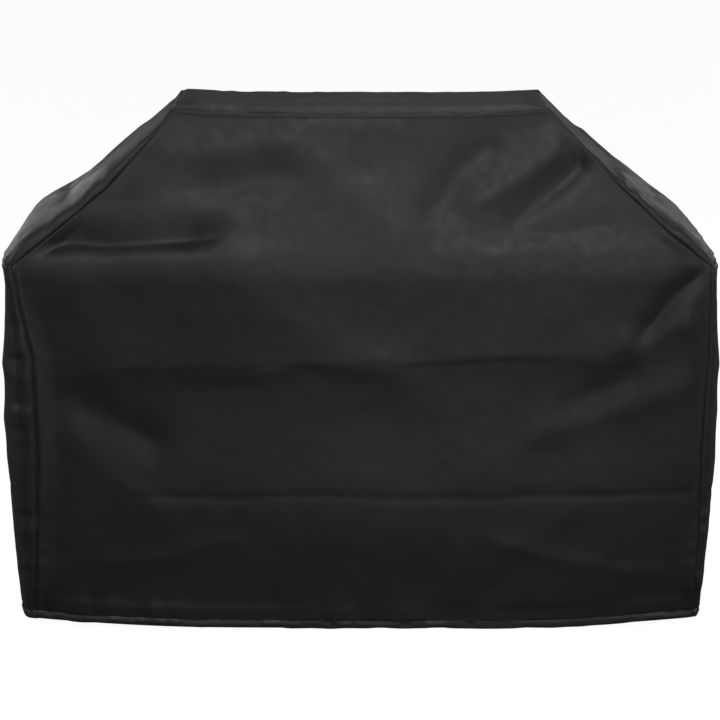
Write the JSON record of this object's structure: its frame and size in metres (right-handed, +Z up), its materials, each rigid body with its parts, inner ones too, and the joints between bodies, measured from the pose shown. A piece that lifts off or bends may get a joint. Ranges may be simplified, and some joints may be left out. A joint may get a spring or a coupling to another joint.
{
  "type": "grill cover",
  "caption": "Fitted black cloth cover for a cart grill: upright walls with sloping shoulders up to a long flat top, a gathered elastic hem and a cinch strap on each side.",
  "frame": {"origin": "on the floor under the middle of the cover's box", "axes": "+Z up, front panel faces -Y, +X along the length of the grill"},
  "size_m": [1.6362, 0.61, 1.219],
  "materials": {
    "cover_cloth": "black coated polyester, satin",
    "hem_cloth": "black coated polyester, folded casing",
    "seam_tape": "heat-sealed waterproof tape",
    "elastic": "braided flat elastic",
    "webbing": "woven polyester webbing",
    "hook_tape": "moulded hook tape",
    "loop_tape": "napped loop tape"
  },
  "bodies": {
    "cover": {"front_panel": "cover_cloth", "back_panel": "cover_cloth", "top_panel": "cover_cloth", "left_slope_panel": "cover_cloth", "right_slope_panel": "cover_cloth", "left_side_panel": "cover_cloth", "right_side_panel": "cover_cloth", "front_hem": "hem_cloth", "back_hem": "hem_cloth", "left_hem": "hem_cloth", "right_hem": "hem_cloth", "front_top_tape": "seam_tape", "left_front_slope_tape": "seam_tape", "left_front_corner_tape": "seam_tape", "right_front_slope_tape": "seam_tape", "right_front_corner_tape": "seam_tape", "back_top_tape": "seam_tape", "left_back_slope_tape": "seam_tape", "left_back_corner_tape": "seam_tape", "right_back_slope_tape": "seam_tape", "right_back_corner_tape": "seam_tape", "left_top_tape": "seam_tape", "left_shoulder_tape": "seam_tape", "right_top_tape": "seam_tape", "right_shoulder_tape": "seam_tape", "hem_elastic": "elastic", "left_strap_anchor": "webbing", "left_loop_tape": "loop_tape", "right_strap_anchor": "webbing", "right_loop_tape": "loop_tape"},
    "left_strap": {"left_strap_flap": "webbing", "left_hook_tape": "hook_tape"},
    "right_strap": {"right_strap_flap": "webbing", "right_hook_tape": "hook_tape"}
  },
  "joints": [
    {"name": "left_strap_fold", "type": "hinge", "parent": "cover", "child": "left_strap", "pos_m": [-0.8184, 0.06, 0.165], "axis": [0, 0, -1], "range_deg": [0, 175]},
    {"name": "right_strap_fold", "type": "hinge", "parent": "cover", "child": "right_strap", "pos_m": [0.8184, 0.06, 0.165], "axis": [0, 0, 1], "range_deg": [0, 175]}
  ]
}
